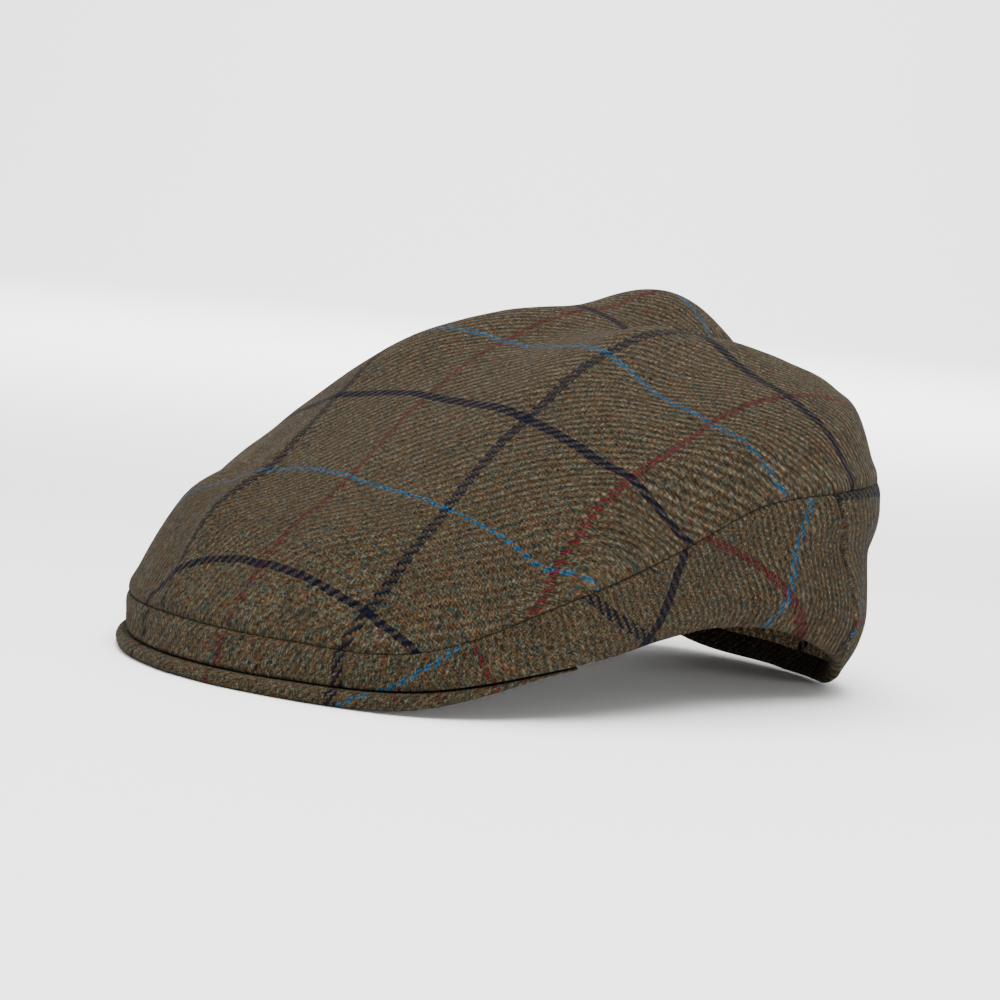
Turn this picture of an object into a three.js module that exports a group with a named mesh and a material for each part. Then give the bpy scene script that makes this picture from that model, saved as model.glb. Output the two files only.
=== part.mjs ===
import * as THREE from 'three';

// Tweed flat cap. Millimetres, +Z up, the peak points to -Y, the wearer's left is +X.
// The cap stands on the lip of its peak and on the back of its hem.

const REACH = 135; // plan distance that the reach shares below are taken of
const HIGH = 125; // height that the height shares below are taken of
const CLOTH = 2.4; // thickness of the lined cloth
const SEAM_GAP = 0.5; // clear cut between two panels, measured along the cloth
const REST_GAP = 0.35; // clear gap between pieces that lie on each other
const TURN_GAP = 0.7; // clear gap between the band and the turned-in strip
const TURN_IN = 2.2; // thickness of the turned-in strip
const TURN_HEIGHT = 30; // how far the turned-in strip reaches up inside, at the back
const TURN_LEAST = 0.55; // share of that height which is left beside the peak
const PUFF = 2.6; // how far the cloth bulges out below the top seam, round the back
const PEAK_THICK = 5.3; // peak with its cover
const PEAK_INNER = 4; // peak at its inner edge
const PEAK_ARCH = 3.5; // how far its inner edge stands above its outer edge
const LIP_OUT = 3.5; // how far the lip stands out below the band
const PEAK_END = 62; // angle of each end of the peak
const PEAK_TAPER = 26; // angle over which it thins out to each end
const STEP = 6; // angle between neighbouring columns of points

// One row every 20 degrees, from the front round the wearer's left to the back and round.
// seam: reach of the top seam. rise: its height. hem, foot: the same for the hem.
// c1 to c4: share of the crown's rise that is left at each of the SPOTS.
// swell: how far the side band bows out, as a share of REACH.
const COLUMNS = ['seam', 'rise', 'hem', 'foot', 'c1', 'c2', 'c3', 'c4', 'swell'];
const ROUND = [
  [1.00, 0.140, 1.015, 0.042, 0.88, 0.67, 0.44, 0.26, 0],
  [0.99, 0.140, 1.005, 0.045, 0.90, 0.68, 0.44, 0.25, 0],
  [0.99, 0.157, 0.975, 0.060, 0.94, 0.74, 0.48, 0.25, 0.007],
  [0.88, 0.303, 0.850, 0.132, 1.00, 0.78, 0.54, 0.32, 0.022],
  [0.76, 0.425, 0.690, 0.190, 1.03, 0.78, 0.57, 0.35, 0.037],
  [0.73, 0.540, 0.615, 0.210, 1.03, 0.79, 0.59, 0.36, 0.044],
  [0.78, 0.578, 0.665, 0.195, 1.02, 0.80, 0.60, 0.36, 0.044],
  [0.83, 0.590, 0.770, 0.105, 1.02, 0.86, 0.67, 0.44, 0.044],
  [0.86, 0.585, 0.805, 0.000, 1.02, 0.89, 0.71, 0.47, 0.052],
  [0.88, 0.585, 0.815, 0.004, 1.03, 0.91, 0.73, 0.49, 0.052],
  [0.88, 0.585, 0.810, 0.025, 1.03, 0.91, 0.73, 0.49, 0.052],
  [0.86, 0.590, 0.775, 0.140, 1.02, 0.88, 0.70, 0.46, 0.044],
  [0.80, 0.580, 0.665, 0.205, 1.02, 0.82, 0.61, 0.37, 0.044],
  [0.76, 0.540, 0.615, 0.210, 1.03, 0.80, 0.60, 0.36, 0.044],
  [0.77, 0.425, 0.690, 0.190, 1.03, 0.79, 0.57, 0.34, 0.037],
  [0.88, 0.295, 0.850, 0.132, 1.01, 0.80, 0.545, 0.32, 0.022],
  [0.975, 0.155, 0.960, 0.060, 0.96, 0.75, 0.47, 0.265, 0.007],
  [1.005, 0.140, 1.000, 0.045, 0.90, 0.69, 0.46, 0.30, 0],
];
const SPOTS = [0, 0.35, 0.6, 0.8, 0.92, 1];
// The crown's middle: its place along the cap as a share of REACH, its height as one of HIGH.
const CROWN = { y: 0.281, height: 0.935 };
// Soft swells and hollows of the crown. Heights are shares of HIGH, the rest of REACH.
const LOBES = [
  { x: 0.015, y: 0.711, height: -0.12, across: 0.141, along: 0.311 },
  { x: -0.311, y: 0.607, height: 0.152, across: 0.222, along: 0.296 },
  { x: -0.33, y: -0.26, height: 0.024, across: 0.2, along: 0.22 },
];
const RINGS = [0.1, 0.22, 0.34, 0.45, 0.55, 0.65, 0.74, 0.82, 0.88, 0.93, 0.965, 0.99, 1];
const BAND_LEVELS = [0, 0.1, 0.25, 0.42, 0.58, 0.72, 0.85, 1];
const SIDE_SEAM = { top: 119, lean: 22 }; // angle of the upright seam, and its slant down to the hem

const TWEED = 0x5f503c;
const rad = (deg) => (deg * Math.PI) / 180;
const mix = (a, b, t) => a + (b - a) * t;
const ease = (t) => {
  const s = Math.min(1, Math.max(0, t));
  return s * s * (3 - 2 * s);
};

function column(name, deg) {
  const k = COLUMNS.indexOf(name);
  const n = ROUND.length;
  const at = ((((deg % 360) + 360) % 360) / 360) * n;
  const i = Math.floor(at);
  const t = at - i;
  const [p, q, r, s] = [-1, 0, 1, 2].map((j) => ROUND[(i + j + n) % n][k]);
  const m = (r - p) / 2;
  const e = (s - q) / 2;
  return (2 * t ** 3 - 3 * t * t + 1) * q + (t ** 3 - 2 * t * t + t) * m
    + (3 * t * t - 2 * t ** 3) * r + (t ** 3 - t * t) * e;
}

function polar(deg, reach, height) {
  return new THREE.Vector3(reach * Math.sin(rad(deg)), -reach * Math.cos(rad(deg)), height);
}

const seamAt = (deg) => polar(deg, REACH * column('seam', deg), HIGH * column('rise', deg));
const hemAt = (deg) => polar(deg, REACH * column('hem', deg), HIGH * Math.max(0, column('foot', deg)));

// Share of the crown's rise at w, from 0 in the middle to 1 on the seam.
function crownShare(deg, w) {
  const v = [1, column('c1', deg), column('c2', deg), column('c3', deg), column('c4', deg), 0];
  const h = SPOTS.slice(1).map((s, i) => s - SPOTS[i]);
  const d = h.map((s, i) => (v[i + 1] - v[i]) / s);
  const m = v.map((_, i) => {
    if (i === 0) return 0;
    if (i === h.length) return 2 * d[i - 1] - (d[i - 2] * h[i - 1] + d[i - 1] * h[i - 2]) / (h[i - 1] + h[i - 2]);
    return (d[i - 1] * h[i] + d[i] * h[i - 1]) / (h[i - 1] + h[i]);
  });
  let k = h.length - 1;
  while (k > 0 && w < SPOTS[k]) k -= 1;
  const t = (w - SPOTS[k]) / h[k];
  return (2 * t ** 3 - 3 * t * t + 1) * v[k] + (t ** 3 - 2 * t * t + t) * m[k] * h[k]
    + (3 * t * t - 2 * t ** 3) * v[k + 1] + (t ** 3 - t * t) * m[k + 1] * h[k];
}

function crownAt(deg, w) {
  const s = seamAt(deg);
  const x = s.x * w;
  const y = mix(REACH * CROWN.y, s.y, w);
  let z = mix(s.z, CROWN.height * HIGH, crownShare(deg, w));
  for (const l of LOBES) {
    const aside = (x / REACH - l.x) / l.across;
    const along = (y / REACH - l.y) / l.along;
    z += HIGH * l.height * Math.exp(-(aside ** 2) - along ** 2) * (1 - w ** 6);
  }
  return new THREE.Vector3(x, y, z);
}

function bandAt(deg, v) {
  const p = seamAt(deg).lerp(hemAt(deg), v);
  const bow = REACH * column('swell', deg) * Math.sin(Math.PI * Math.min(1, v) ** 2.4);
  const side = Math.min(deg, 360 - deg);
  const puff = PUFF * ease((Math.abs(side) - 95) / 35) * Math.sin(Math.PI * Math.min(1, v / 0.36));
  return p.add(polar(deg, bow + puff, 0));
}

function across(at, a, v, da, dv) {
  const du = at(a + da, v).sub(at(a - da, v));
  const dw = at(a, v + dv).sub(at(a, v - dv));
  return du.cross(dw).normalize();
}

// Outward directions: up and out on the crown, out on the band, halfway on the seam.
const crownOut = (deg, w) => across(crownAt, deg, Math.min(w, 0.985), 1, -0.012);
const bandOut = (deg, v) => across(bandAt, deg, Math.min(0.97, Math.max(0.03, v)), 1, -0.02);
function seamOut(deg) {
  const a = crownOut(deg, 0.97);
  const b = bandOut(deg, 0.06);
  const half = Math.sqrt((1 + a.dot(b)) / 2);
  return a.add(b).normalize().multiplyScalar(1 / Math.max(0.75, half));
}

function crownInside(deg, w) {
  const t = ease((w - 0.9) / 0.1);
  const n = crownOut(deg, Math.max(w, 0.02)).multiplyScalar(1 - t).add(seamOut(deg).multiplyScalar(t));
  return crownAt(deg, w).addScaledVector(n, -CLOTH);
}

function bandInside(deg, v, first, depth) {
  const t = 1 - ease((v - first) / 0.14);
  const foot = ease((v - 0.86) / 0.14);
  const flat = polar(deg, 1, 0);
  const n = bandOut(deg, v).multiplyScalar((1 - t) * (1 - foot));
  n.add(seamOut(deg).multiplyScalar(t)).add(flat.multiplyScalar(foot * (1 - t)));
  return bandAt(deg, v).addScaledVector(n, -depth);
}

function solid(name, points, faces, colour) {
  const g = new THREE.BufferGeometry();
  g.setAttribute('position', new THREE.Float32BufferAttribute(points.flatMap((p) => [p.x, p.y, p.z]), 3));
  g.setIndex(faces.flat());
  g.computeVertexNormals();
  const mesh = new THREE.Mesh(g, new THREE.MeshStandardMaterial({ color: colour, roughness: 0.95 }));
  mesh.name = name;
  return mesh;
}

// Closes a tube of equal loops. Without ring it gets an end face at each end.
function loft(name, loops, ring, colour) {
  const n = loops[0].length;
  const faces = [];
  const last = ring ? loops.length : loops.length - 1;
  for (let i = 0; i < last; i += 1) {
    const a = i * n;
    const b = ((i + 1) % loops.length) * n;
    for (let j = 0; j < n; j += 1) {
      const k = (j + 1) % n;
      faces.push([a + j, b + k, b + j], [a + j, a + k, b + k]);
    }
  }
  if (!ring) {
    const end = (loops.length - 1) * n;
    for (const [c, d] of stripPairs(n)) {
      faces.push([c[0], c[1], c[2]], [end + d[0], end + d[1], end + d[2]]);
    }
  }
  return solid(name, loops.flat(), faces, colour);
}

// Fills a loop made of two facing rows, one down the outside and one back up the inside.
function stripPairs(n) {
  const out = [];
  for (let j = 0; j < n / 2 - 1; j += 1) {
    const k = n - 1 - j;
    out.push([[j, k, j + 1], [j, j + 1, k]], [[j + 1, k, k - 1], [j + 1, k - 1, k]]);
  }
  return out;
}

function topPanel() {
  const n = 360 / STEP;
  const points = [crownAt(0, 0), crownInside(0, 0)];
  points[1] = points[0].clone().add(new THREE.Vector3(0, 0, -CLOTH));
  const faces = [];
  const outer = [];
  const inner = [];
  for (const w of RINGS) {
    outer.push(points.length);
    for (let i = 0; i < n; i += 1) points.push(crownAt(i * STEP, w));
    inner.push(points.length);
    for (let i = 0; i < n; i += 1) points.push(crownInside(i * STEP, w));
  }
  for (let i = 0; i < n; i += 1) {
    const j = (i + 1) % n;
    faces.push([0, outer[0] + i, outer[0] + j], [1, inner[0] + j, inner[0] + i]);
    for (let r = 0; r < RINGS.length - 1; r += 1) {
      const [a, b, c, d] = [outer[r] + i, outer[r] + j, outer[r + 1] + i, outer[r + 1] + j];
      const [e, f, g, h] = [inner[r] + i, inner[r] + j, inner[r + 1] + i, inner[r + 1] + j];
      faces.push([a, c, d], [a, d, b], [e, h, g], [e, f, h]);
    }
    const r = RINGS.length - 1;
    faces.push([outer[r] + i, inner[r] + i, inner[r] + j], [outer[r] + i, inner[r] + j, outer[r] + j]);
  }
  return solid('top_panel', points, faces, TWEED);
}

// A band from angle to angle. Both ends may slant with the height.
function bandPiece(name, from, to, count) {
  const loops = [];
  for (let i = 0; i <= count; i += 1) {
    const out = [];
    const back = [];
    for (const level of BAND_LEVELS) {
      const deg = mix(from(level), to(level), i / count);
      const first = SEAM_GAP / seamAt(deg).distanceTo(hemAt(deg));
      const v = mix(first, 1, level);
      out.push(bandAt(deg, v));
      back.unshift(bandInside(deg, v, first, CLOTH));
    }
    loops.push(out.concat(back));
  }
  return loft(name, loops, false, TWEED);
}

function turnedIn() {
  const from = PEAK_END + 4;
  const count = 38;
  const loops = [];
  for (let i = 0; i <= count; i += 1) {
    const deg = mix(from, 360 - from, i / count);
    const tall = seamAt(deg).distanceTo(hemAt(deg));
    const fromPeak = Math.min(deg, 360 - deg) - from;
    const start = 1 - (TURN_HEIGHT * mix(TURN_LEAST, 1, ease(fromPeak / 50))) / tall;
    const out = [];
    const back = [];
    for (const level of [0, 0.3, 0.6, 0.85, 1]) {
      const v = mix(start, 1, level);
      out.push(bandInside(deg, v, -1, CLOTH + TURN_GAP));
      back.unshift(bandInside(deg, v, -1, CLOTH + TURN_GAP + TURN_IN));
    }
    loops.push(out.concat(back));
  }
  return loft('inner_facing', loops, false, TWEED);
}

// Half sizes of the oval that the peak's inner edge follows.
const OPENING = { across: 106, along: 99 };
function openingReach(deg) {
  return 1 / Math.hypot(Math.sin(rad(deg)) / OPENING.across, Math.cos(rad(deg)) / OPENING.along);
}

function peakPiece() {
  const count = 40;
  const loops = [];
  for (let i = 0; i <= count; i += 1) {
    const deg = mix(-PEAK_END, PEAK_END, i / count);
    const hem = REACH * column('hem', deg);
    const top = HIGH * column('foot', deg) - REST_GAP;
    const near = ease((PEAK_END - Math.abs(deg)) / PEAK_TAPER);
    const low = Math.max(0, top - PEAK_THICK * mix(0.2, 1, near));
    const tall = top - low;
    const out = LIP_OUT * mix(0.1, 1, near);
    const inner = openingReach(deg);
    const rise = PEAK_ARCH * mix(0.3, 1, near);
    const thick = PEAK_INNER * mix(0.5, 1, near);
    const mid = mix(hem, inner, 0.55);
    const upper = [
      [inner, top + rise],
      [mid, top + rise * 0.6],
      [hem - 4, top],
      [hem + 0.4, top],
      [hem + out * 0.7, top - 0.6],
      [hem + out, low + tall * 0.55],
    ];
    const lower = [
      [inner, top + rise - thick],
      [mid, mix(low, top + rise * 0.6 - thick, 0.6)],
      [hem - 7, low],
      [hem - 2, low],
      [hem + out * 0.5, low],
      [hem + out * 0.88, low + tall * 0.2],
    ];
    loops.push(upper.concat(lower.reverse()).map(([r, z]) => polar(deg, r, z)));
  }
  return loft('peak', loops, false, TWEED);
}

const cut = (SEAM_GAP / (REACH * 0.8)) * (180 / Math.PI) / 2 + 0.06;
const leftSeam = (level) => SIDE_SEAM.top + SIDE_SEAM.lean * level;

const cap = new THREE.Group();
cap.name = 'flat_cap';
cap.add(topPanel());
cap.add(bandPiece('band_front', (v) => cut - leftSeam(v), (v) => leftSeam(v) - cut, 46));
cap.add(bandPiece('band_back', (v) => leftSeam(v) + cut, (v) => 360 - leftSeam(v) - cut, 20));
cap.add(turnedIn());
cap.add(peakPiece());

// The origin is set under the middle of the whole cap.
const box = new THREE.Box3();
for (const mesh of cap.children) box.union(new THREE.Box3().setFromBufferAttribute(mesh.geometry.attributes.position));
const middle = box.getCenter(new THREE.Vector3());
for (const mesh of cap.children) mesh.geometry.translate(-middle.x, -middle.y, -box.min.z);

export default cap;
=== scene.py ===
import math

import bpy
import numpy as np
from mathutils import Matrix, Vector


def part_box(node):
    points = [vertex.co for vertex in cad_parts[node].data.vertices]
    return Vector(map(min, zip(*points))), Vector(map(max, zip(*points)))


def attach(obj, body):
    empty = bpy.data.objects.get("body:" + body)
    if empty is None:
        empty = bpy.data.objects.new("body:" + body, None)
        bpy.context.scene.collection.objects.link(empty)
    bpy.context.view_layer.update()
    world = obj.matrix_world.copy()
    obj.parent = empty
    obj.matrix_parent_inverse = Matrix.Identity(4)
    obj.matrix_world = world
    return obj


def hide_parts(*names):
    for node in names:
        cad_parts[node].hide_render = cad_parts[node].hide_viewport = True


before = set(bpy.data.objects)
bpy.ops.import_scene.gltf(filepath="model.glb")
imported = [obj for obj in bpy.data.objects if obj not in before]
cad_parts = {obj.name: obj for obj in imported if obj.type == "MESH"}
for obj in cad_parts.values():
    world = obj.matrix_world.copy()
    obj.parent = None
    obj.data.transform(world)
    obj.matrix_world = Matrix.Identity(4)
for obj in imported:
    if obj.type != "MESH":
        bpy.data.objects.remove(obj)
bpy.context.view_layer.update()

# A tweed flat cap, dressed around its frame. Shapes are worked out in millimetres.
MM = 0.001

# Driving sizes of the cap.
REACH = 135.0  # plan distance that the reach shares are taken of
HIGH = 125.0  # height that the height shares are taken of
CLOTH = 2.4  # thickness of the lined cloth
FACING = 2.2  # thickness of the strip turned in at the hem
TURN_GAP = 0.7  # clear gap between the band and that strip
TURN_HEIGHT = 30.0  # how far the strip reaches up inside
TURN_LEAST = 0.55  # share of that height which is left beside the peak
PUFF = 2.6  # how far the band bulges below the top seam round the back
PUFF_SHARE = 0.36  # share of the band's height that the bulge takes
PEAK_THICK = 5.3  # thickness of the peak at its lip
PEAK_INNER = 4.0  # thickness at its hidden inner edge
LIP_OUT = 3.5  # how far the lip stands out past the hem
REST_GAP = 0.35  # gap between the peak and the hem above it
PEAK_END = 62.0  # angle from the front at which the peak ends
PEAK_TAPER = 26.0  # angle over which it thins out to that end
PEAK_ARCH = 3.5  # how far its inner edge rises
OPENING_ACROSS = 106.0  # half sizes of the oval that its inner edge follows
OPENING_ALONG = 99.0
SIDE_SEAM_TOP = 119.0  # angle of the upright seam where it leaves the top seam
SIDE_SEAM_LEAN = 22.0  # angle that it leans back on its way down
SEAM_SLIT = 0.02  # slit that is left between two panels
SEAM_ROLL = 3.2  # distance over which cloth rolls into a seam
SEAM_DEPTH = 1.7  # how deep it rolls in
SEAM_QUIET = 0.25  # share of that depth which is left round the back
HEM_FLAT = 0.65  # how flat the fold of the hem is

# One row every 20 degrees, from the front round the wearer's left to the back and round.
# Shares of REACH for seam, hem and swell (how far the band bows out), and of HIGH for rise
# and foot. c1 to c4 are shares of the crown's rise at each of the SPOTS.
COLUMNS = ("seam", "rise", "hem", "foot", "c1", "c2", "c3", "c4", "swell")
ROUND = np.array([
    (1.00, 0.140, 1.015, 0.042, 0.88, 0.67, 0.44, 0.26, 0),
    (0.99, 0.140, 1.005, 0.045, 0.90, 0.68, 0.44, 0.25, 0),
    (0.99, 0.157, 0.975, 0.060, 0.94, 0.74, 0.48, 0.25, 0.007),
    (0.88, 0.303, 0.850, 0.132, 1.00, 0.78, 0.54, 0.32, 0.022),
    (0.76, 0.425, 0.690, 0.190, 1.03, 0.78, 0.57, 0.35, 0.037),
    (0.73, 0.540, 0.615, 0.210, 1.03, 0.79, 0.59, 0.36, 0.044),
    (0.78, 0.578, 0.665, 0.195, 1.02, 0.80, 0.60, 0.36, 0.044),
    (0.83, 0.590, 0.770, 0.105, 1.02, 0.86, 0.67, 0.44, 0.044),
    (0.86, 0.585, 0.805, 0.000, 1.02, 0.89, 0.71, 0.47, 0.052),
    (0.88, 0.585, 0.815, 0.004, 1.03, 0.91, 0.73, 0.49, 0.052),
    (0.88, 0.585, 0.810, 0.025, 1.03, 0.91, 0.73, 0.49, 0.052),
    (0.86, 0.590, 0.775, 0.140, 1.02, 0.88, 0.70, 0.46, 0.044),
    (0.80, 0.580, 0.665, 0.205, 1.02, 0.82, 0.61, 0.37, 0.044),
    (0.76, 0.540, 0.615, 0.210, 1.03, 0.80, 0.60, 0.36, 0.044),
    (0.77, 0.425, 0.690, 0.190, 1.03, 0.79, 0.57, 0.34, 0.037),
    (0.88, 0.295, 0.850, 0.132, 1.01, 0.80, 0.545, 0.32, 0.022),
    (0.975, 0.155, 0.960, 0.060, 0.96, 0.75, 0.47, 0.265, 0.007),
    (1.005, 0.140, 1.000, 0.045, 0.90, 0.69, 0.46, 0.30, 0),
])
SPOTS = np.array((0, 0.35, 0.6, 0.8, 0.92, 1))
CROWN_Y = 0.281 * REACH
CROWN_HEIGHT = 0.935
# Swells and hollows of the crown: x, y, height (a share of HIGH), spread across and along.
LOBES = (
    (0.015, 0.711, -0.12, 0.141, 0.311),
    (-0.311, 0.607, 0.152, 0.222, 0.296),
    (-0.33, -0.26, 0.024, 0.2, 0.22),
)

# The far side of the crown breaks along a soft crease: places (x, y) that it passes.
CREASE = ((-10, -128), (-24, -77), (-42, -48))
CREASE_HIGH = 1.7
CREASE_WIDE = 6.0

# Cloth. The check repeats every CHECK mm both ways; lines are numbered from the front and
# from the wearer's right. Odd cross lines and even lengthwise lines are navy, even cross
# lines are blue and odd lengthwise lines are red.
CHECK = 45.0
# Where the cross lines 0 to 8 lie on the crown (y), at each of these x.
CROSS_AT = np.array((-105.0, -50.0, 0.0, 50.0, 80.0, 95.0, 104.0))
CROSS_LINES = np.array([
    (-150, -155, -160, -150, -140, -132, -122),
    (-110, -137, -126, -115, -105, -98, -88),
    (-85, -112, -95, -87, -78, -69, -50),
    (-50, -64, -53, -50, -43, -30, -2),
    (-15, -21, -10, -11, 4, 26, 46),
    (20, 25, 36, 38, 52, 80, 100),
    (60, 68, 80, 84, 98, 125, 145),
    (104, 112, 124, 130, 144, 170, 190),
    (149, 157, 169, 175, 190, 215, 235),
], float)
# Where the lengthwise lines -3 to 4 lie on the crown (x), at each of these y.
LENGTH_AT = np.array((-135.0, -100.0, -60.0, -20.0, 20.0, 60.0, 110.0))
LENGTH_LINES = np.array([
    (-135, -132, -140, -155, -168, -180, -195),
    (-92, -90, -102, -120, -130, -140, -155),
    (-52, -52, -68, -88, -100, -110, -125),
    (-13, -14, -35, -58, -70, -80, -92),
    (23, 24, 8, -9, -20, -30, -44),
    (62, 68, 59, 47, 36, 24, 10),
    (96, 104, 97, 88, 76, 66, 52),
    (135, 145, 138, 128, 118, 108, 94),
], float)
# Cloth numbers on the front band, one row every 20 degrees from the front to 140:
# cross number at the seam and hem, lengthwise number at the seam and hem.
BAND_CLOTH = np.array([
    (0.80, 0.62, 0.50, 0.50),
    (0.58, 0.40, 1.53, 1.53),
    (0.12, -0.12, 2.60, 2.55),
    (-0.36, -0.58, 3.87, 3.40),
    (-0.96, -1.14, 4.80, 4.05),
    (-1.60, -1.65, 5.40, 4.45),
    (-2.30, -2.20, 5.75, 4.90),
    (-3.50, -3.10, 6.00, 5.20),
])
BACK_START = -3.15  # cross number where the back band begins, beside the wearer's left ear
BACK_BASE = 4.4  # lengthwise number along the back hem

# The camera looks at the cap's left front from a little above the floor.
CAMERA_AZIMUTH = 53.5
CAMERA_ELEVATION = 4.9
CAMERA_ROLL = 5.3
CAMERA_DISTANCE = 1.143
CAMERA_TARGET = (0.0, 0.0116, 0.0572)
CAMERA_LENS = 122.4
CAMERA_SENSOR = 36.0
CAMERA_SHIFT = (-0.042, 0.001)

# A wide floor, in metres, turns up into a wall far behind the cap.
FLOOR_REACH = 5.0
FLOOR_HALF = 8.0
WALL_HIGH = 4.0
WALL_BEND = 1.5
WALL_AIM = (4.0, 0.6)  # place on the wall that the wash is aimed at: how far away, how high
WORLD_LIGHT = 0.72
# name, angle round from the camera, elevation, distance, size, watts
LIGHTS = (
    ("key", 10, 62, 1.6, 0.9, 35),
    ("fill", -60, 45, 1.8, 1.2, 13),
    ("low", 4, 4, 1.2, 0.4, 3.5),
    ("rear", 52, 6, 1.1, 0.4, 7.5),
    ("top", 180, 80, 1.5, 1.2, 38),
    ("wash", 180, 50, 2.6, 1.5, 260),
)


def mix(a, b, t):
    return a + (b - a) * t


def ease(t):
    s = np.clip(t, 0, 1)
    return s * s * (3 - 2 * s)


def column(name, deg):
    k = COLUMNS.index(name)
    n = len(ROUND)
    at = np.mod(deg, 360) / 360 * n
    i = np.floor(at).astype(int)
    t = at - i
    p, q, r, s = (ROUND[(i + j + n) % n, k] for j in (-1, 0, 1, 2))
    m = (r - p) / 2
    e = (s - q) / 2
    return ((2 * t**3 - 3 * t * t + 1) * q + (t**3 - 2 * t * t + t) * m
            + (3 * t * t - 2 * t**3) * r + (t**3 - t * t) * e)


SHIFT_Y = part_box("peak")[0].y / MM + REACH * float(column("hem", np.array(0.0))) + LIP_OUT


def polar(deg, reach, height):
    a = np.radians(deg)
    return np.stack(np.broadcast_arrays(reach * np.sin(a), -reach * np.cos(a), height), -1)


def seam_at(deg):
    return polar(deg, REACH * column("seam", deg), HIGH * column("rise", deg))


def hem_at(deg):
    return polar(deg, REACH * column("hem", deg), HIGH * np.maximum(0, column("foot", deg)))


def crown_share(deg, w):
    one = np.ones_like(deg)
    v = [one] + [column(c, deg) for c in ("c1", "c2", "c3", "c4")] + [0 * one]
    h = np.diff(SPOTS)
    d = [(v[i + 1] - v[i]) / h[i] for i in range(5)]
    m = [0 * one]
    m += [(d[i - 1] * h[i] + d[i] * h[i - 1]) / (h[i - 1] + h[i]) for i in range(1, 5)]
    m.append(2 * d[4] - (d[3] * h[4] + d[4] * h[3]) / (h[4] + h[3]))
    share = np.zeros_like(deg)
    for k in range(5):
        t = (w - SPOTS[k]) / h[k]
        part = ((2 * t**3 - 3 * t * t + 1) * v[k] + (t**3 - 2 * t * t + t) * m[k] * h[k]
                + (3 * t * t - 2 * t**3) * v[k + 1] + (t**3 - t * t) * m[k + 1] * h[k])
        inside = (w >= SPOTS[k]) if k == 4 else (w >= SPOTS[k]) & (w < SPOTS[k + 1])
        share = np.where(inside, part, share)
    return share


def crown_at(deg, w):
    s = seam_at(deg)
    x = s[..., 0] * w
    y = mix(CROWN_Y, s[..., 1], w)
    z = mix(s[..., 2], CROWN_HEIGHT * HIGH, crown_share(deg, w))
    for lx, ly, height, across, along in LOBES:
        bump = np.exp(-(((x / REACH - lx) / across) ** 2) - ((y / REACH - ly) / along) ** 2)
        z = z + HIGH * height * bump * (1 - w**6)
    return np.stack((x, y, z), -1)


def band_at(deg, v):
    s, h = seam_at(deg), hem_at(deg)
    p = s + (h - s) * v[..., None]
    bow = REACH * column("swell", deg) * np.sin(np.pi * np.clip(v, 0, 1) ** 2.4)
    side = np.abs(np.minimum(deg, 360 - deg))
    bow = bow + PUFF * ease((side - 95) / 35) * np.sin(np.pi * np.clip(v / PUFF_SHARE, 0, 1))
    return p + polar(deg, bow, 0 * bow)


def unit(v):
    return v / np.maximum(np.linalg.norm(v, axis=-1, keepdims=True), 1e-9)


def across(at, deg, v, da, dv):
    du = at(deg + da, v) - at(deg - da, v)
    dw = at(deg, v + dv) - at(deg, v - dv)
    return unit(np.cross(du, dw))


def crown_out(deg, w):
    return across(crown_at, deg, np.clip(w, 0.02, 0.985), 1.0, -0.012)


def band_out(deg, v):
    return across(band_at, deg, np.clip(v, 0.03, 0.97), 1.0, -0.02)


def seam_out(deg):
    a = crown_out(deg, np.full_like(deg, 0.97))
    b = band_out(deg, np.full_like(deg, 0.06))
    half = np.sqrt((1 + (a * b).sum(-1, keepdims=True)) / 2)
    return unit(a + b) / np.maximum(0.75, half)


def lattice_noise(p, cell, seed):
    """Smooth noise between -1 and 1 over the points, with lumps about one cell wide."""
    table = np.random.RandomState(seed).uniform(-1, 1, (32, 32, 32))
    q = p / cell
    i = np.floor(q).astype(int)
    f = q - i
    f = f * f * f * (f * (6 * f - 15) + 10)
    total = 0
    for dx in (0, 1):
        for dy in (0, 1):
            for dz in (0, 1):
                corner = table[(i[..., 0] + dx) % 32, (i[..., 1] + dy) % 32, (i[..., 2] + dz) % 32]
                share = (np.where(dx, f[..., 0], 1 - f[..., 0]) * np.where(dy, f[..., 1], 1 - f[..., 1])
                         * np.where(dz, f[..., 2], 1 - f[..., 2]))
                total = total + corner * share
    return total


def ripples(p, deg, edge):
    """How far soft cloth stands off its smooth form. edge is the distance to the nearest seam."""
    away = ease(edge / 9)
    soft = 0.75 * lattice_noise(p, 46, 3)
    soft = soft + 0.35 * lattice_noise(p, 21, 4)
    soft = soft + 0.12 * lattice_noise(p, 9, 5)
    near = np.exp(-((edge - 4.5) / 4.0) ** 2)
    pucker = lattice_noise(np.stack((deg * 0.9, edge * 0.2, 0 * edge), -1), 3.2, 6)
    ridge = 0.2 * np.exp(-((edge - 4.0) / 2.2) ** 2)
    return soft * away + 0.18 * pucker * near + ridge


def crease(p):
    """A soft ridge with a shallow hollow on its outer side."""
    best = np.full(p.shape[:-1], 1e9)
    side = np.zeros(p.shape[:-1])
    for (ax, ay), (bx, by) in zip(CREASE[:-1], CREASE[1:]):
        dx, dy = bx - ax, by - ay
        length = math.hypot(dx, dy)
        t = np.clip(((p[..., 0] - ax) * dx + (p[..., 1] - ay) * dy) / length**2, 0, 1)
        ox, oy = p[..., 0] - ax - t * dx, p[..., 1] - ay - t * dy
        d = np.hypot(ox, oy)
        side = np.where(d < best, (ox * dy - oy * dx) / length, side)
        best = np.minimum(d, best)
    ridge = np.exp(-((best / CREASE_WIDE) ** 2))
    hollow = np.exp(-(((side + 2.2 * CREASE_WIDE) / (1.3 * CREASE_WIDE)) ** 2)) * (best < 40)
    fade = ease((-40 - p[..., 1]) / 40)
    return CREASE_HIGH * (ridge - 0.3 * hollow) * fade


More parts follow.
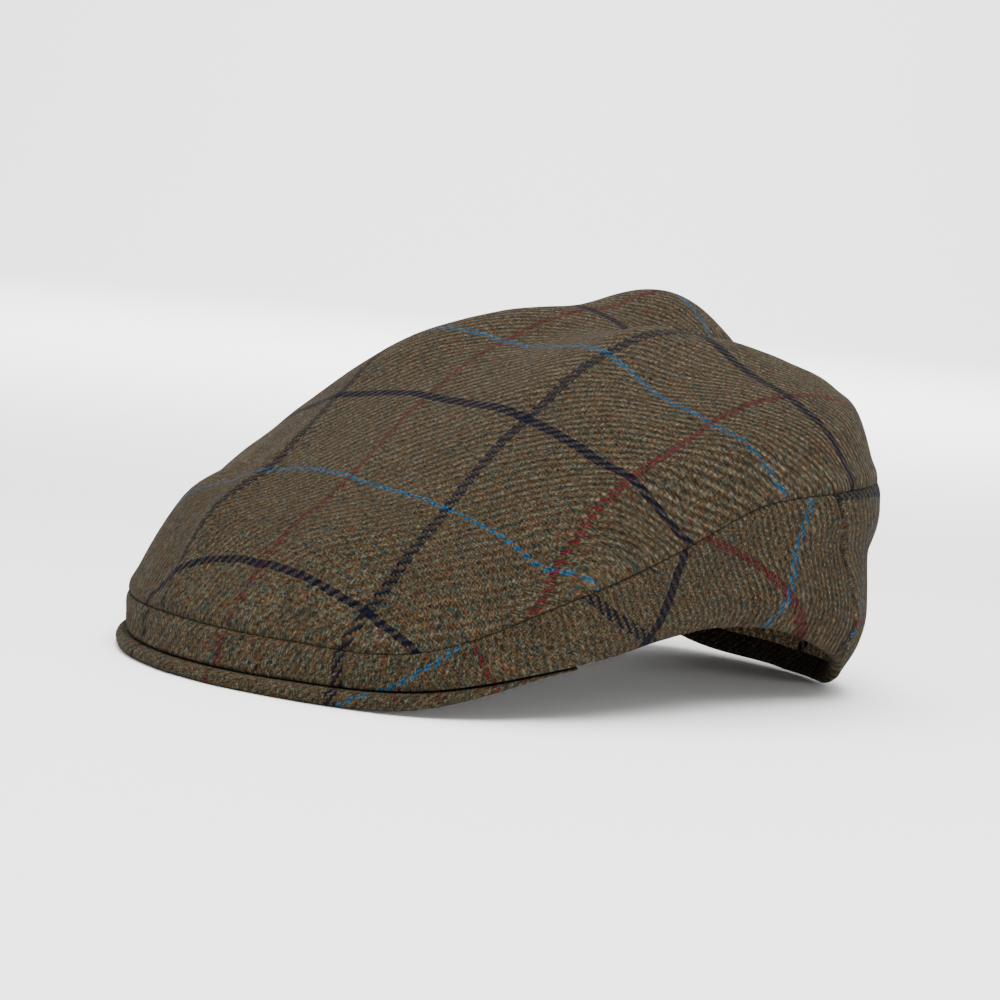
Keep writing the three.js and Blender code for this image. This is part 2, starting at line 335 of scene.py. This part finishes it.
def roll(edge, deg):
    """How deep cloth lies below its face at this distance from a seam, shallow round the back."""
    quiet = ease((105 - np.abs(deg - 222)) / 30)
    depth = SEAM_DEPTH * mix(1, SEAM_QUIET, quiet)
    s = np.clip(edge / SEAM_ROLL, 0, 1)
    return depth * (1 - np.sqrt(np.clip(1 - (1 - s) ** 2, 0, 1)))


def line_number(value, lines, first):
    """Turns a place into a cloth number. lines[k] is where line first + k lies, per point."""
    n = len(lines)
    out = np.full(value.shape, float(first))
    for k in range(n - 1):
        a, b = lines[k], lines[k + 1]
        t = (value - a) / (b - a)
        use = (t >= 0) if k else np.ones_like(t, bool)
        out = np.where(use, first + k + t, out)
    return out


def smooth_rows(table, stations, at):
    """Each row of the table as a smooth curve over its stations, read at these places."""
    x = np.clip(at, stations[0], stations[-1])
    k = np.clip(np.searchsorted(stations, x, side="right") - 1, 0, len(stations) - 2)
    h = stations[k + 1] - stations[k]
    t = (x - stations[k]) / h
    steps = np.diff(table, axis=1) / np.diff(stations)
    before, after = steps[:, :-1], steps[:, 1:]
    same = before * after > 0
    middle = np.where(same, 2 * before * after / np.where(same, before + after, 1), 0)
    slope = np.concatenate((steps[:, :1], middle, steps[:, -1:]), 1)
    rows = []
    for row, m in zip(table, slope):
        rows.append((2 * t**3 - 3 * t * t + 1) * row[k] + (t**3 - 2 * t * t + t) * m[k] * h
                    + (3 * t * t - 2 * t**3) * row[k + 1] + (t**3 - t * t) * m[k + 1] * h)
    return rows


def crown_cloth(p):
    """Cloth place, in millimetres, of crown points in the frame."""
    cross = line_number(p[..., 1], smooth_rows(CROSS_LINES, CROSS_AT, p[..., 0]), 0)
    length = line_number(p[..., 0], smooth_rows(LENGTH_LINES, LENGTH_AT, p[..., 1]), -3)
    return np.stack((length * CHECK, cross * CHECK), -1)


def band_cloth(deg, v):
    stations = np.arange(len(BAND_CLOTH)) * 20.0
    side = np.abs(deg)
    ps, ph, qs, qh = smooth_rows(BAND_CLOTH.T, stations, side)
    cross = mix(ps, ph, v)
    length = mix(qs, qh, v)
    length = np.where(deg < 0, 1 - length, length)
    return np.stack((length * CHECK, cross * CHECK), -1)


def back_cloth(deg, p):
    along = np.radians(deg - SIDE_SEAM_TOP) * 112
    return np.stack((BACK_BASE * CHECK + p[..., 2], BACK_START * CHECK - along), -1)


def ring_faces(rows, columns):
    """Quads between closed rings of points, numbered row * columns + column."""
    faces = []
    for r in range(rows - 1):
        for c in range(columns):
            d = (c + 1) % columns
            a, b = r * columns + c, r * columns + d
            faces.append((a, a + columns, b + columns, b))
    return faces


def mesh_object(name, points, faces, cloth, material):
    p = points * MM
    mesh = bpy.data.meshes.new(name)
    mesh.from_pydata(p.tolist(), [], faces)
    layer = mesh.uv_layers.new(name="cloth")
    corner = np.zeros(len(mesh.loops), np.int32)
    mesh.loops.foreach_get("vertex_index", corner)
    layer.data.foreach_set("uv", cloth[corner].astype(np.float32).ravel())
    mesh.polygons.foreach_set("use_smooth", [True] * len(mesh.polygons))
    mesh.materials.append(material)
    mesh.validate()
    mesh.update()
    obj = bpy.data.objects.new(name, mesh)
    bpy.context.scene.collection.objects.link(obj)
    return obj


def shifted(p):
    return p + np.array((0, SHIFT_Y, 0))


def steep(base, deg):
    """What the fall of the crown adds to the cloth's length, round the back and the far side."""
    step = np.diff(base, axis=0)
    extra = np.linalg.norm(step, axis=-1) - np.linalg.norm(step[..., :2], axis=-1)
    along = np.concatenate((np.zeros((1, len(deg))), np.cumsum(extra, axis=0)))
    along = np.maximum(0, along - along[len(along) // 2])
    along = along * ease((deg - 145) / 25) * ease((305 - deg) / 30)
    a = np.radians(deg)
    return along[..., None] * np.stack((np.sin(a), -np.cos(a)), -1)


# The rings of the crown lie closer together where the cloth rolls into the top seam.
CROWN_COLUMNS = 420
CROWN_RINGS = np.concatenate((
    np.linspace(0.02, 0.965, 64),
    1 - np.array((0.031, 0.027, 0.023, 0.019, 0.015, 0.0115, 0.009, 0.007)),
    1 - np.array((0.005, 0.0035, 0.002, 0.0008, 0))))


def crown_mesh(material):
    columns = CROWN_COLUMNS
    deg = np.arange(columns) * 360.0 / columns
    w = CROWN_RINGS
    D, W = np.meshgrid(deg, w)
    base = crown_at(D, W)
    t = ease((W - 0.9) / 0.1)[..., None]
    n = unit(crown_out(D, W) * (1 - t) + unit(seam_out(D)) * t)
    seam = seam_at(deg)
    edge = (1 - W) * np.linalg.norm((seam - crown_at(deg, np.full_like(deg, 0.95))) / 0.05, axis=-1)
    soft = ripples(shifted(base), D, edge) + crease(base) * ease(edge / 8)
    outer = base + n * (soft * ease((1 - W) / 0.01) - roll(edge, D))[..., None]
    D2, W2 = np.meshgrid(deg, np.concatenate(((1.0,), np.linspace(0.97, 0.02, 26))))
    t2 = ease((W2 - 0.9) / 0.1)[..., None]
    n2 = crown_out(D2, W2) * (1 - t2) + seam_out(D2) * t2
    inner = crown_at(D2, W2) - n2 * CLOTH
    rows = np.concatenate((outer, inner))
    cloth = np.concatenate((crown_cloth(base) + steep(base, deg), crown_cloth(crown_at(D2, W2))))
    points = shifted(rows.reshape(-1, 3))
    faces = ring_faces(len(rows), columns)
    cloth = cloth.reshape(-1, 2)
    # The small rings in the middle close on one point each.
    top = len(points)
    middle = np.array([points[:columns].mean(0), points[-columns:].mean(0)])
    points = np.concatenate((points, middle))
    cloth = np.concatenate((cloth, [cloth[:columns].mean(0), cloth[-columns:].mean(0)]))
    last = top - columns
    for c in range(columns):
        d = (c + 1) % columns
        faces.append((top, c, d))
        faces.append((top + 1, last + d, last + c))
    return mesh_object("crown_cloth", points, faces, cloth, material)


def strip_mesh(name, loops, cloth, material):
    """A closed body from loops (columns of points), with both ends filled."""
    count, n = loops.shape[:2]
    points = shifted(loops.reshape(-1, 3))
    faces = []
    for i in range(count - 1):
        for j in range(n):
            k = (j + 1) % n
            a, b = i * n, (i + 1) * n
            faces.append((a + j, a + k, b + k, b + j))
    end = (count - 1) * n
    for j in range(n // 2 - 1):
        k = n - 1 - j
        faces.append((j + 1, j, k, k - 1))
        faces.append((end + j, end + j + 1, end + k - 1, end + k))
    return mesh_object(name, points, faces, cloth.reshape(-1, 2), material)


FACE_LEVELS = np.concatenate((
    np.array((0, 0.15, 0.35, 0.6, 0.9, 1.3, 1.8, 2.4, 3.2, 4.2, 5.4, 7.0)) / 60,
    np.linspace(0.15, 1.0, 26)))
HEM_TURN = (22.5, 45, 67.5, 90, 112.5, 135, 157.5, 180)
INSIDE_LEVELS = (0.93, 0.8, 0.6, 0.4, 0.2, 0.0)


def band_section(angle, end_edge, fold):
    """Columns of points down the face, round the hem and up the inside.

    angle(v) gives the angle of every column at height v, because the end seams slant.
    """
    middle = angle(0.5)
    tall = np.linalg.norm(seam_at(middle) - hem_at(middle), axis=-1)
    v0 = SEAM_SLIT / tall
    half = fold / 2
    foot_share = HEM_FLAT * half / tall
    rows, places = [], []

    def keep(p, v):
        rows.append(p)
        places.append(v)

    for level in FACE_LEVELS:
        v = v0 + (1 - v0 - foot_share) * level
        deg = angle(v)
        base = band_at(deg, v)
        t = 1 - ease(level / 0.14)
        n = unit(band_out(deg, v) * (1 - t) + seam_out(deg) * t)
        edge = (v - v0) * tall
        bottom = (1 - v) * tall
        side = np.minimum(edge, end_edge(v))
        off = ripples(shifted(base), deg, np.minimum(side, bottom + 3))
        off = off * ease(np.minimum(edge, bottom) / 1.2) - roll(side, deg % 360)
        keep(base + n * off[:, None], v)
    v = 1 - foot_share
    deg = angle(v)
    start = band_at(deg, v)
    n_end = unit(band_out(deg, v) * 0.4 + polar(deg, np.ones(len(deg)), np.zeros(len(deg))) * 0.6)
    down = np.array((0, 0, -1))
    for a in np.radians(HEM_TURN):
        inward = -n_end * (half * (1 - np.cos(a)))[:, None]
        below = down * (HEM_FLAT * half * np.sin(a))[:, None]
        keep(start + inward + below, v)
    # Up the inside: the turned cloth first, then the back of the band.
    for rise in (1.5, 3.0):
        v = 1 - foot_share - rise / tall
        deg = angle(v)
        keep(band_at(deg, v) - band_out(deg, v) * fold[:, None], v)
    for level in INSIDE_LEVELS:
        v = v0 + (1 - v0 - foot_share - 3.2 / tall) * level
        deg = angle(v)
        t = 1 - ease(level / 0.14)
        n = band_out(deg, v) * (1 - t) + seam_out(deg) * t
        keep(band_at(deg, v) - n * CLOTH, v)
    return np.stack(rows, 1), np.stack(places, 1)


def seam_angle(v):
    return SIDE_SEAM_TOP + SIDE_SEAM_LEAN * v


SIDE_REACH = 0.8 * REACH  # distance of the upright seams from the middle
SLIT_ANGLE = math.degrees(SEAM_SLIT / SIDE_REACH)


def band_front_mesh(material):
    share = np.linspace(-1, 1, 300)

    # The upright seams slant, so the angle of a column depends on its height.
    def angle(v):
        return share * (seam_angle(v) - SLIT_ANGLE)

    def end_edge(v):
        return np.radians((1 - np.abs(share)) * (seam_angle(v) - SLIT_ANGLE)) * SIDE_REACH

    turned = ease((np.abs(angle(0.5)) - PEAK_END - 1) / 8)
    fold = mix(CLOTH, CLOTH + TURN_GAP + FACING, turned)
    rows, places = band_section(angle, end_edge, fold)
    cloth = np.stack([band_cloth(angle(v), v) for v in places.T], 1)
    return strip_mesh("band_front_cloth", rows, cloth, material)


def band_back_mesh(material):
    share = np.linspace(0, 1, 150)

    def angle(v):
        a = seam_angle(v) + SLIT_ANGLE
        return a + (360 - 2 * a) * share

    def end_edge(v):
        a = seam_angle(v) + SLIT_ANGLE
        return np.radians(np.minimum(share, 1 - share) * (360 - 2 * a)) * SIDE_REACH

    fold = np.full(len(share), CLOTH + TURN_GAP + FACING)
    rows, places = band_section(angle, end_edge, fold)
    cloth = np.stack([back_cloth(angle(v), rows[:, j]) for j, v in enumerate(places.T)], 1)
    return strip_mesh("band_back_cloth", rows, cloth, material)


def facing_mesh(material):
    first = PEAK_END + 4
    deg = np.linspace(first, 360 - first, 240)
    tall = np.linalg.norm(seam_at(deg) - hem_at(deg), axis=-1)
    side = np.minimum(deg, 360 - deg)
    height = TURN_HEIGHT * mix(TURN_LEAST, 1, ease((side - first) / 50))
    low = 1 - (CLOTH + TURN_GAP + FACING) / 2 / tall - 3.4 / tall
    high = 1 - height / tall
    rows = []
    near, far = CLOTH + TURN_GAP, CLOTH + TURN_GAP + FACING
    for share, depth in ((0, near), (0.5, near), (1, near), (1.02, mix(near, far, 0.5)), (1, far),
                         (0.75, far), (0.5, far), (0.25, far), (0, far), (-0.03, mix(near, far, 0.5))):
        v = mix(low, high, share)
        base = band_at(deg, v)
        soft = 0.35 * lattice_noise(shifted(base), 24, 8) if depth == far else 0 * deg
        rows.append(base - band_out(deg, v) * (depth + soft)[:, None])
    rows = np.stack(rows, 1)
    cloth = np.stack((rows[..., 2] + 20, np.radians(deg)[:, None] * 105 + 0 * rows[..., 2]), -1)
    return strip_mesh("facing_cloth", rows[:, ::-1], cloth[:, ::-1], material)


def opening_reach(deg):
    a = np.radians(deg)
    return 1 / np.hypot(np.sin(a) / OPENING_ACROSS, np.cos(a) / OPENING_ALONG)


def closed_curve(points, steps):
    """A smooth closed curve through the points of each column."""
    n = points.shape[1]
    out = []
    for j in range(n):
        p, q, r, s = (points[:, (j + k) % n] for k in (-1, 0, 1, 2))
        for t in np.arange(steps) / steps:
            m, e = (r - p) / 2, (s - q) / 2
            out.append((2 * t**3 - 3 * t * t + 1) * q + (t**3 - 2 * t * t + t) * m
                       + (3 * t * t - 2 * t**3) * r + (t**3 - t * t) * e)
    return np.stack(out, 1)


def peak_mesh(material):
    deg = np.linspace(-PEAK_END, PEAK_END, 260)
    hem = REACH * column("hem", deg)
    top = HIGH * column("foot", deg) - REST_GAP
    near = ease((PEAK_END - np.abs(deg)) / PEAK_TAPER)
    low = np.maximum(0, top - PEAK_THICK * mix(0.06, 1, near))
    tall = top - low
    out = LIP_OUT * mix(0.1, 1, near)
    inner = opening_reach(deg)
    rise = PEAK_ARCH * mix(0.3, 1, near)
    thick = PEAK_INNER * mix(0.3, 1, near)
    mid = mix(hem, inner, 0.55)
    section = (
        (inner, top + rise),
        (mid, top + rise * 0.6),
        (hem - 4, top),
        (hem + 0.4, top),
        (hem + out * 0.7, top - 0.6),
        (hem + out, low + tall * 0.55),
        (hem + out * 0.88, low + tall * 0.2),
        (hem + out * 0.5, low),
        (hem - 2, low),
        (hem - 7, low),
        (mid, mix(low, top + rise * 0.6 - thick, 0.6)),
        (inner, top + rise - thick),
    )
    loops = np.stack([polar(deg, r, z) for r, z in section], 1)
    loops = closed_curve(loops, 3)
    loops[..., 2] = np.maximum(loops[..., 2], 0)
    wobble = 0.25 * lattice_noise(shifted(loops), 12, 9)
    outward = polar(deg, np.ones(len(deg)), np.zeros(len(deg)))
    loops = loops + outward[:, None, :] * (wobble * ease(near[:, None]))[..., None]
    n = loops.shape[1]
    cross = band_cloth(deg, np.ones_like(deg))
    reach = np.hypot(loops[..., 0], loops[..., 1])
    path = np.concatenate((np.zeros((len(deg), 1)),
                           np.cumsum(np.linalg.norm(np.diff(loops, axis=1), axis=-1), 1)), 1)
    # The cloth is counted on from the hem, which the tenth point of a loop touches.
    start = path[:, 9:10]
    cloth = np.empty(loops.shape[:2] + (2,))
    cloth[..., 0] = cross[:, None, 0]
    cloth[..., 1] = cross[:, None, 1] - (path - start)
    return strip_mesh("peak_cloth", loops[:, ::-1], cloth[:, ::-1], material)


class Nodes:
    """Short ways to build a material's node tree."""

    def __init__(self, material):
        material.use_nodes = True
        self.tree = material.node_tree
        self.tree.nodes.clear()

    def add(self, kind, inputs=(), **settings):
        node = self.tree.nodes.new(kind)
        for key, value in settings.items():
            setattr(node, key, value)
        for key, value in dict(inputs).items():
            self.put(node.inputs[key], value)
        return node

    def put(self, socket, value):
        if isinstance(value, bpy.types.NodeSocket):
            self.tree.links.new(value, socket)
        else:
            socket.default_value = value

    def math(self, operation, *values):
        node = self.add("ShaderNodeMath", operation=operation)
        for socket, value in zip(node.inputs, values):
            self.put(socket, value)
        return node.outputs[0]

    def blend(self, share, a, b):
        node = self.add("ShaderNodeMix", data_type="RGBA")
        self.put(node.inputs[0], share)
        self.put(node.inputs[6], a)
        self.put(node.inputs[7], b)
        return node.outputs[2]

    def pick(self, share, a, b):
        node = self.add("ShaderNodeMix", data_type="FLOAT")
        self.put(node.inputs[0], share)
        self.put(node.inputs[2], a)
        self.put(node.inputs[3], b)
        return node.outputs[0]

    def vector(self, x, y, z=0.0):
        return self.add("ShaderNodeCombineXYZ", ((0, x), (1, y), (2, z))).outputs[0]

    def move(self, operation, a, b):
        """A vector added to, or taken from, another."""
        return self.add("ShaderNodeVectorMath", ((0, a), (1, b)), operation=operation).outputs[0]

    def scaled(self, vector, factor):
        inputs = ((0, vector), ("Scale", factor))
        return self.add("ShaderNodeVectorMath", inputs, operation="SCALE").outputs[0]

    def noise(self, vector, scale, detail=0.0, output="Fac"):
        inputs = (("Vector", vector), ("Scale", scale), ("Detail", detail))
        return self.add("ShaderNodeTexNoise", inputs).outputs[output]

    def stretch(self, value, low, high):
        """0 at low, 1 at high, and held there beyond them."""
        node = self.add("ShaderNodeMapRange", ((0, value), (1, low), (2, high)))
        return node.outputs[0]

    def ramp(self, share, stops):
        node = self.add("ShaderNodeValToRGB", ((0, share),))
        ramp = node.color_ramp
        while len(ramp.elements) < len(stops):
            ramp.elements.new(0.5)
        for element, (place, colour) in zip(ramp.elements, stops):
            element.position = place
            element.color = (*colour, 1)
        return node.outputs[0]


FLECK_SHARE = 0.8  # how much the flecks hide of the yarn's own colour
FELT_SHARE = 0.8  # how much the felted wool hides of the threads at the front
FRONT_LINE = 0.8  # cross number of the cloth that lies at the front
# Colours of the wool that is spun into the yarn, from the rarest cold to the rarest warm.
FLECKS = (
    (0.00, (0.006, 0.028, 0.037)),
    (0.26, (0.018, 0.036, 0.024)),
    (0.40, (0.130, 0.106, 0.072)),
    (0.52, (0.008, 0.007, 0.005)),
    (0.64, (0.108, 0.070, 0.026)),
    (0.80, (0.034, 0.016, 0.010)),
    (1.00, (0.118, 0.040, 0.020)),
)
THREAD = 0.94  # width of one thread
AHEAD = 4000  # threads added so that thread numbers stay positive

# Yarn colours, in linear light. The ground yarns run from a dark to a light tone.
NAVY = (0.0006, 0.0014, 0.0110)
BLUE = (0.012, 0.080, 0.165)
RED = (0.070, 0.006, 0.010)
WARP_TONES = ((0.008, 0.007, 0.005), (0.125, 0.092, 0.054))
WEFT_TONES = ((0.004, 0.004, 0.003), (0.084, 0.058, 0.030))


def yarn(nodes, number, along, seed, tones):
    """Colour of a mottled yarn: tone and flecks change along its length."""
    def place(per_thread, per_length, layer):
        return nodes.vector(nodes.math("MULTIPLY", number, per_thread),
                            nodes.math("MULTIPLY", along, per_length), seed + layer)
    dark, light = tones
    tone = nodes.stretch(nodes.noise(place(1.37, 0.31, 0.0), 1.0, 1.0), 0.3, 0.7)
    base = nodes.ramp(tone, ((0.0, dark), (1.0, light)))
    spots = nodes.ramp(nodes.stretch(nodes.noise(place(1.71, 0.42, 40.5), 1.0), 0.2, 0.8), FLECKS)
    share = nodes.stretch(nodes.noise(nodes.vector(number, along, seed + 80.5), 0.61), 0.4, 0.55)
    return nodes.blend(nodes.math("MULTIPLY", share, FLECK_SHARE), base, spots)


def stripe(nodes, number, middle, count, every):
    """1 on the threads of a stripe that repeats: its middle, how many threads, and how often."""
    first = nodes.math("SUBTRACT", middle, nodes.math("MULTIPLY", count, 0.5))
    place = nodes.math("MODULO", nodes.math("SUBTRACT", number, first), every)
    return nodes.math("LESS_THAN", place, nodes.math("SUBTRACT", count, 0.5))


def wandering(nodes, uv):
    """The cloth's coordinates, with the small waves that real threads have."""
    middle = (0.5, 0.5, 0.5)
    slow = nodes.move("SUBTRACT", nodes.noise(uv, 0.045, 1.0, "Color"), middle)
    quick = nodes.move("SUBTRACT", nodes.noise(uv, 0.5, 1.0, "Color"), middle)
    off = nodes.move("ADD", nodes.scaled(slow, 2.4), nodes.scaled(quick, 0.9))
    parts = nodes.add("ShaderNodeSeparateXYZ", ((0, nodes.move("ADD", uv, off)),))
    return parts.outputs[0], parts.outputs[1]


def checked_yarns(nodes, i, j, u, v, place):
    """Colours of warp and weft with the check, and 1 where each thread belongs to a line."""
    n = nodes
    repeat = 2 * CHECK / THREAD
    zero = AHEAD % repeat
    # The crown's cloth numbers lie closer toward the back, so lines there hold more threads.
    on_crown = n.math("GREATER_THAN", place, 0.0)
    behind = n.math("SUBTRACT", n.math("ABSOLUTE", place), 0.3)
    wider = n.math("MINIMUM", n.pick(on_crown, 1.3, 3.2), n.math("MAXIMUM", 0.0, behind))
    red_count = n.pick(on_crown, 3.0, 2.4)
    blue_count = n.math("ADD", 2.0, n.math("MULTIPLY", wider, 0.45))
    navy_count = n.math("ADD", 3.0, n.math("MULTIPLY", wider, 0.8))
    navy_warp = stripe(n, i, zero, 5.0, repeat)
    red_warp = stripe(n, i, zero + repeat / 2, red_count, repeat)
    blue_weft = stripe(n, j, zero, blue_count, repeat)
    navy_weft = stripe(n, j, zero + repeat / 2, navy_count, repeat)
    warp = n.blend(navy_warp, yarn(n, i, v, 3.0, WARP_TONES), (*NAVY, 1))
    warp = n.blend(red_warp, warp, (*RED, 1))
    weft = n.blend(blue_weft, yarn(n, j, u, 11.0, WEFT_TONES), (*BLUE, 1))
    weft = n.blend(navy_weft, weft, (*NAVY, 1))
    on_warp = n.math("ADD", navy_warp, red_warp)
    on_weft = n.math("ADD", blue_weft, navy_weft)
    return warp, weft, on_warp, on_weft, navy_weft


def tweed(name, tone_and_painted_light):
    """Checked twill. The warp runs front to back and the weft across."""
    material = bpy.data.materials.new(name)
    n = Nodes(material)
    uv = n.add("ShaderNodeUVMap", uv_map="cloth").outputs[0]
    x, y = wandering(n, uv)
    u = n.math("ADD", n.math("DIVIDE", x, THREAD), AHEAD)
    v = n.math("ADD", n.math("DIVIDE", y, THREAD), AHEAD)
    i = n.math("FLOOR", u)
    j = n.math("FLOOR", v)

    # Two-and-two twill: the share of warp that shows, in soft slanting ribs.
    step = n.math("MODULO", n.math("ADD", n.math("SUBTRACT", i, j), AHEAD), 4.0)
    warp_up = n.math("LESS_THAN", step, 1.5)
    slant = n.math("ADD", n.math("SUBTRACT", u, v), AHEAD - 1.0)
    wave = n.math("COSINE", n.math("MULTIPLY", slant, math.pi / 2))
    rib = n.math("ADD", n.math("MULTIPLY", wave, 0.5), 0.5)
    across_warp = n.math("SINE", n.math("MULTIPLY", n.math("FRACT", u), math.pi))
    across_weft = n.math("SINE", n.math("MULTIPLY", n.math("FRACT", v), math.pi))
    thread = n.pick(warp_up, across_weft, across_warp)

    place = n.math("SUBTRACT", n.math("DIVIDE", y, CHECK), FRONT_LINE)
    warp, weft, on_warp, on_weft, navy_weft = checked_yarns(n, i, j, u, v, place)
    # The navy weft is beaten up close and hides much of the warp.
    show = n.math("MULTIPLY", n.pick(0.75, rib, warp_up), n.pick(navy_weft, 1.0, 0.3))
    woven = n.blend(show, weft, warp)
    marked = n.pick(show, on_weft, on_warp)

    # The front is handled more and more felted, so the twill shows more clearly behind it.
    clear = n.stretch(n.math("ABSOLUTE", place), 0.2, 2.2)
    # Loose wool that is felted over the threads mixes their colours.
    wool = n.vector(x, y, 9.0)
    felt = n.ramp(n.stretch(n.noise(wool, 0.72, 2.0), 0.28, 0.72), FLECKS)
    thin = n.stretch(n.noise(wool, 0.5, 2.0), 0.25, 0.6)
    cover = n.pick(marked, n.pick(clear, FELT_SHARE, 0.55 * FELT_SHARE), 0.04)
    colour = n.blend(n.math("MULTIPLY", thin, cover), woven, felt)

    # Shade between threads, loose hairs over them and slow changes of tone.
    # Painted shade and highlight along the twill ribs and between the threads: the ribs show it fully
    # behind the front and in noisy patches elsewhere.
    rib_shade_patches = n.stretch(n.noise(uv, 0.16, 2.0), 0.35, 0.65)
    plain = n.math("MAXIMUM", n.math("MULTIPLY", rib_shade_patches, 0.8), clear)
    ribs = n.pick(plain, 1.0, n.pick(rib, 0.62, 1.22))
    depth = n.math("MULTIPLY", ribs, n.pick(thread, 0.6, 1.15))
    patch = n.pick(n.stretch(n.noise(uv, 0.06, 2.0), 0.3, 0.7), 0.92, 1.08)
    fibre = n.stretch(n.noise(n.vector(x, y, 5.0), 1.25, 3.0), 0.3, 0.7)
    hairs = n.pick(fibre, 0.35, 1.65)
    # The last factor scales the cloth's own tone; for the turned-in strip it is much larger, painted
    # light that brightens the unlit inside.
    factor = n.math("MULTIPLY", n.math("MULTIPLY", depth, patch), n.math("MULTIPLY", hairs, tone_and_painted_light))

    height = n.math("ADD", n.math("MULTIPLY", rib, 0.5), n.math("MULTIPLY", fibre, 0.6))
    height = n.math("ADD", height, n.math("MULTIPLY", thread, 0.25))
    bump = n.add("ShaderNodeBump", (("Height", height), ("Strength", 1.0), ("Distance", 0.0008)))
    shader = n.add("ShaderNodeBsdfPrincipled", (
        ("Base Color", n.scaled(colour, factor)),
        ("Roughness", 0.95),
        ("Specular IOR Level", 0.04),
        ("Sheen Weight", 0.02),
        ("Sheen Roughness", 0.5),
        ("Sheen Tint", (0.85, 0.80, 0.72, 1)),
        ("Normal", bump.outputs[0]),
    ))
    out = n.add("ShaderNodeOutputMaterial")
    n.put(out.inputs[0], shader.outputs[0])
    return material


def floor_mesh():
    material = bpy.data.materials.new("floor_plain")
    n = Nodes(material)
    inputs = (("Base Color", (0.92, 0.92, 0.91, 1)), ("Roughness", 0.8))
    shader = n.add("ShaderNodeBsdfPrincipled", inputs)
    out = n.add("ShaderNodeOutputMaterial")
    n.put(out.inputs[0], shader.outputs[0])
    flat = FLOOR_REACH - WALL_BEND
    outline = [(-FLOOR_REACH, 0.0), (flat, 0.0)]
    outline += [(flat + WALL_BEND * math.sin(a), WALL_BEND - WALL_BEND * math.cos(a))
                for a in np.linspace(0, math.pi / 2, 16)[1:]]
    outline.append((FLOOR_REACH, WALL_HIGH))
    side = math.radians(CAMERA_AZIMUTH)
    points = []
    for away, height in outline:
        for right in (-FLOOR_HALF, FLOOR_HALF):
            points.append((math.cos(side) * right - math.sin(side) * away,
                           math.sin(side) * right + math.cos(side) * away, height))
    faces = [(2 * k, 2 * k + 1, 2 * k + 3, 2 * k + 2) for k in range(len(outline) - 1)]
    mesh = bpy.data.meshes.new("floor")
    mesh.from_pydata(points, [], faces)
    mesh.polygons.foreach_set("use_smooth", [True] * len(faces))
    mesh.materials.append(material)
    floor = bpy.data.objects.new("floor", mesh)
    bpy.context.scene.collection.objects.link(floor)


def lights():
    world = bpy.data.worlds.new("studio")
    world.use_nodes = True
    world.node_tree.nodes["Background"].inputs[0].default_value = (1, 1, 1, 1)
    world.node_tree.nodes["Background"].inputs[1].default_value = WORLD_LIGHT
    bpy.context.scene.world = world
    side = math.radians(CAMERA_AZIMUTH)
    away, high = WALL_AIM
    wall = (-math.sin(side) * away, math.cos(side) * away, high)
    for name, turn, lift, distance, size, power in LIGHTS:
        light = bpy.data.lights.new(name, "AREA")
        light.size = size
        light.energy = power
        lamp = bpy.data.objects.new(name, light)
        a = side + math.radians(turn)
        e = math.radians(lift)
        toward = Vector((math.sin(a) * math.cos(e), -math.cos(a) * math.cos(e), math.sin(e)))
        lamp.location = toward * distance
        aim = Vector(wall if name == "wash" else CAMERA_TARGET)
        lamp.rotation_euler = (lamp.location - aim).to_track_quat("Z", "Y").to_euler()
        bpy.context.scene.collection.objects.link(lamp)


def camera():
    a = math.radians(CAMERA_AZIMUTH)
    e = math.radians(CAMERA_ELEVATION)
    r = math.radians(CAMERA_ROLL)
    back = Vector((math.sin(a) * math.cos(e), -math.cos(a) * math.cos(e), math.sin(e)))
    right = Vector((math.cos(a), math.sin(a), 0))
    up = back.cross(right)
    across_view = right * math.cos(r) + up * math.sin(r)
    up_view = up * math.cos(r) - right * math.sin(r)
    data = bpy.data.cameras.new("photo_view")
    data.lens = CAMERA_LENS
    data.sensor_width = CAMERA_SENSOR
    data.shift_x, data.shift_y = CAMERA_SHIFT
    data.clip_start = 0.05
    data.clip_end = 50
    obj = bpy.data.objects.new("photo_view", data)
    place = Vector(CAMERA_TARGET) + back * CAMERA_DISTANCE
    turn = Matrix((across_view, up_view, back)).transposed()
    obj.matrix_world = Matrix.Translation(place) @ turn.to_4x4()
    bpy.context.scene.collection.objects.link(obj)
    bpy.context.scene.camera = obj


camera()
floor_mesh()
lights()
cloth_face = tweed("tweed_cloth", 0.59)
# The turned-in strip is painted about eight times brighter than the outer cloth: painted light standing
# in for light that hardly reaches inside the cap.
cloth_back_painted_light = tweed("tweed_turned_in_painted_light", 5.0)
for maker, node, material, slot in (
        (crown_mesh, "top_panel", cloth_face, "tweed"),
        (band_front_mesh, "band_front", cloth_face, "tweed"),
        (band_back_mesh, "band_back", cloth_face, "tweed"),
        (facing_mesh, "inner_facing", cloth_back_painted_light, "tweed_inside"),
        (peak_mesh, "peak", cloth_face, "tweed")):
    piece = maker(material)
    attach(piece, "root")
    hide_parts(node)

bpy.context.view_layer.update()
